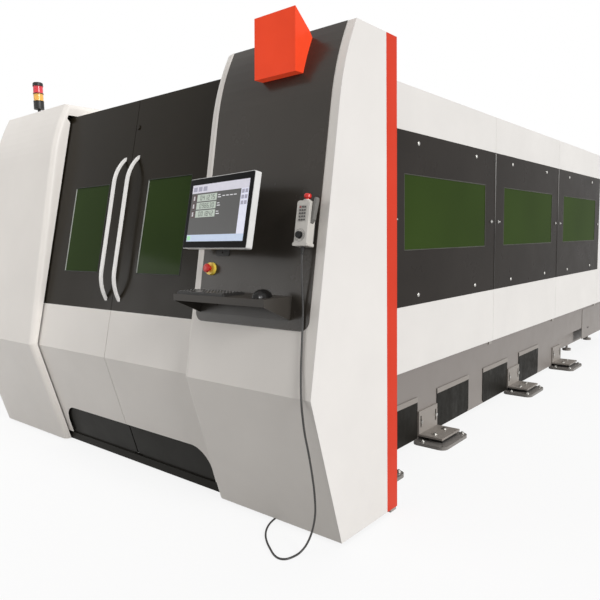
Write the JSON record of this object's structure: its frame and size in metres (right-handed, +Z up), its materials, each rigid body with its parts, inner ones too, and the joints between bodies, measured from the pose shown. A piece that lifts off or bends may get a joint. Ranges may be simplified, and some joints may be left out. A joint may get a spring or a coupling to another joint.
{
  "type": "fibre laser cutting machine",
  "caption": "Fibre laser cutting machine: enclosed gantry behind sliding front doors and green side windows, with a console column that carries monitor, keyboard tray and hand pendant.",
  "frame": {"origin": "on the floor, under the middle of the machine's outer box, without the free cable", "axes": "+Z up, +Y into the machine from its doors to its rear wall, +X to the operator's right"},
  "size_m": [3.04, 6.417, 2.4163],
  "materials": {
    "base_paint": "satin taupe grey",
    "bracket_paint": "satin light taupe",
    "plate_steel": "matt grey",
    "dark_block": "matt dark",
    "flap_rubber": "matt",
    "zinc_steel": "zinc plated",
    "front_white": "satin warm white",
    "side_white": "satin white",
    "trim_red": "satin orange red",
    "frame_paint": "satin grey",
    "rail_paint": "satin dark grey",
    "panel_dark": "semi-gloss charcoal",
    "handle_white": "satin white",
    "window_green": "green laser protection pane",
    "black_plastic": "matt black",
    "amber_lens": "translucent amber",
    "red_lens": "translucent red",
    "monitor_grey": "light grey",
    "screen_black": "glossy",
    "key_black": "matt",
    "wheel_rubber": "matt",
    "signal_yellow": "satin yellow",
    "button_red": "satin red",
    "pendant_grey": "light grey",
    "keypad_grey": "grey foil",
    "cable_rubber": "matt",
    "body_white": "satin warm white",
    "bed_paint": "satin grey",
    "tray_steel": "matt steel",
    "gantry_aluminium": "satin",
    "head_white": "satin white",
    "pallet_paint": "matt grey",
    "slat_steel": "mill finish"
  },
  "bodies": {
    "machine": {"base_beams": "base_paint", "base_cross_members": "base_paint", "floor_plates": "plate_steel", "foot_brackets": "bracket_paint", "foot_shoes": "dark_block", "rubber_flaps": "flap_rubber", "bolts_and_screws": "zinc_steel", "left_column_skin": "front_white", "right_column_skin": "front_white", "column_side_panels": "side_white", "column_inner_panels": "front_white", "side_trims": "trim_red", "cabin_frame": "frame_paint", "door_rails": "rail_paint", "console_panel": "panel_dark", "sign_box": "trim_red", "signal_light_body": "black_plastic", "signal_light_amber": "amber_lens", "signal_light_red": "red_lens", "monitor_mount": "dark_block", "keyboard_tray": "panel_dark", "keyboard_case": "black_plastic", "keyboard_keys": "key_black", "mouse_body": "black_plastic", "mouse_wheel": "wheel_rubber", "estop_base": "signal_yellow", "pendant_holder": "black_plastic", "pendant_body": "pendant_grey", "pendant_keypad": "keypad_grey", "cable_glands": "black_plastic", "pendant_cable": "cable_rubber", "side_panels": "body_white", "side_window_panels": "panel_dark", "side_windows": "window_green", "roof_panels": "body_white", "rear_wall": "body_white", "machine_beds": "bed_paint", "scrap_trays": "tray_steel"},
    "left_door": {"left_door_skin": "front_white", "left_door_panel": "panel_dark", "left_door_window": "window_green", "left_door_handle": "handle_white", "left_door_frame": "rail_paint"},
    "right_door": {"right_door_skin": "front_white", "right_door_panel": "panel_dark", "right_door_window": "window_green", "right_door_handle": "handle_white", "right_door_frame": "rail_paint"},
    "monitor_arm": {"monitor_swivel": "dark_block"},
    "monitor": {"monitor_housing": "monitor_grey", "monitor_screen": "screen_black"},
    "stop_button": {"estop_button": "button_red"},
    "pendant_stop_button": {"pendant_estop": "button_red"},
    "pendant_dial": {"pendant_knob": "black_plastic"},
    "enable_switch": {"pendant_enable_switch": "keypad_grey"},
    "gantry": {"gantry_beam": "gantry_aluminium"},
    "carriage": {"cross_carriage": "gantry_aluminium"},
    "head": {"cutting_head": "head_white"},
    "pallet": {"pallet_frame": "pallet_paint", "pallet_slats": "slat_steel"}
  },
  "joints": [
    {"name": "left_door_slide", "type": "slide", "parent": "machine", "child": "left_door", "axis": [-1, 0, 0], "range_m": [0, 0.6]},
    {"name": "right_door_slide", "type": "slide", "parent": "machine", "child": "right_door", "axis": [1, 0, 0], "range_m": [0, 0.6]},
    {"name": "monitor_swivel_turn", "type": "hinge", "parent": "machine", "child": "monitor_arm", "pos_m": [0.96, -3.02395, 1.441], "axis": [0, 0, 1], "range_deg": [-6, 20]},
    {"name": "monitor_tilt_turn", "type": "hinge", "parent": "monitor_arm", "child": "monitor", "pos_m": [1.031, -3.06152, 1.421], "axis": [0.9877, -0.1564, 0], "range_deg": [-8, 8]},
    {"name": "stop_button_press", "type": "slide", "parent": "machine", "child": "stop_button", "axis": [0, 0.9836, -0.1805], "range_m": [0, 0.005]},
    {"name": "pendant_stop_press", "type": "slide", "parent": "machine", "child": "pendant_stop_button", "axis": [0, -0.1805, -0.9836], "range_m": [0, 0.004]},
    {"name": "pendant_dial_turn", "type": "hinge", "parent": "machine", "child": "pendant_dial", "pos_m": [1.432, -3.05202, 1.32487], "axis": [0, -0.9836, 0.1805], "range_deg": [-150, 150]},
    {"name": "enable_switch_press", "type": "hinge", "parent": "machine", "child": "enable_switch", "pos_m": [1.467, -3.02024, 1.37394], "axis": [0, -0.9836, 0.1805], "range_deg": [0, 3], "stiffness_Nm_per_rad": 3},
    {"name": "gantry_slide", "type": "slide", "parent": "machine", "child": "gantry", "axis": [0, 1, 0], "range_m": [0, 3]},
    {"name": "carriage_slide", "type": "slide", "parent": "gantry", "child": "carriage", "axis": [1, 0, 0], "range_m": [-0.15, 1.35]},
    {"name": "head_slide", "type": "slide", "parent": "carriage", "child": "head", "axis": [0, 0, -1], "range_m": [0, 0.12]},
    {"name": "pallet_slide", "type": "slide", "parent": "machine", "child": "pallet", "axis": [0, 1, 0], "range_m": [0, 3]}
  ]
}
